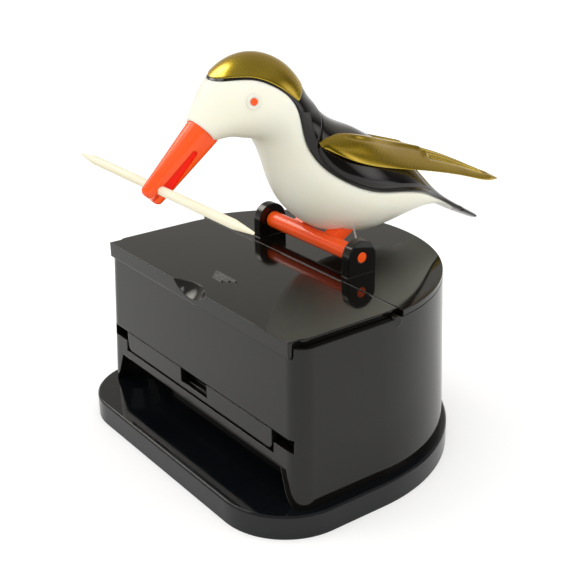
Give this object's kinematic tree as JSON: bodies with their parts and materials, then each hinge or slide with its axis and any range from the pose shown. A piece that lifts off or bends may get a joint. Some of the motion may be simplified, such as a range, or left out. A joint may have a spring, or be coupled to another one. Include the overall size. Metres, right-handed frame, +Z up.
{
  "type": "toothpick dispenser",
  "caption": "Table toothpick dispenser: a sprung bird on a perch bows over a D-shaped box and takes a pick from its front slot in its beak.",
  "frame": {"origin": "centre of the base plate's flat underside", "axes": "+Z up, +Y to the round back of the box (the bird faces -Y), +X to the bird's left"},
  "size_m": [0.0802, 0.0949, 0.0869],
  "materials": {
    "black_plastic": "moulded",
    "grey_plastic": "moulded",
    "white_plastic": "moulded",
    "black_gloss": "moulded",
    "gold": "metallic lacquer on plastic",
    "orange_plastic": "moulded",
    "steel": "plain",
    "spring_steel": "drawn wire",
    "pick_wood": "bare birch"
  },
  "bodies": {
    "housing": {"base_plate": "black_plastic", "base_screws": "steel", "body_shell": "grey_plastic", "hopper_tray": "grey_plastic", "gate_pin": "steel", "gate_spring": "spring_steel", "front_lid": "grey_plastic", "lid_hinge_pins": "steel", "rear_cover": "grey_plastic", "return_spring": "spring_steel"},
    "gate": {"pickup_gate": "grey_plastic"},
    "bird": {"bird_body_shell": "white_plastic", "bird_back_shell": "black_gloss", "head_cap": "gold", "beak": "orange_plastic", "eye_left": "orange_plastic", "eye_right": "orange_plastic", "wing_left": "gold", "wing_right": "gold", "perch": "orange_plastic", "toothpick": "pick_wood"}
  },
  "joints": [
    {"name": "bird_hinge", "type": "hinge", "parent": "housing", "child": "bird", "pos_m": [0, 0.007, 0.0443], "axis": [1, 0, 0], "range_deg": [0, 59], "stiffness_Nm_per_rad": 0.012, "springref_deg": -28.65, "deforming": ["return_spring"]},
    {"name": "gate_hinge", "type": "hinge", "parent": "housing", "child": "gate", "pos_m": [0, -0.02422, 0.01595], "axis": [1, 0, 0], "range_deg": [0, 20], "stiffness_Nm_per_rad": 0.0006, "springref_deg": -11.46, "deforming": ["gate_spring"]}
  ]
}
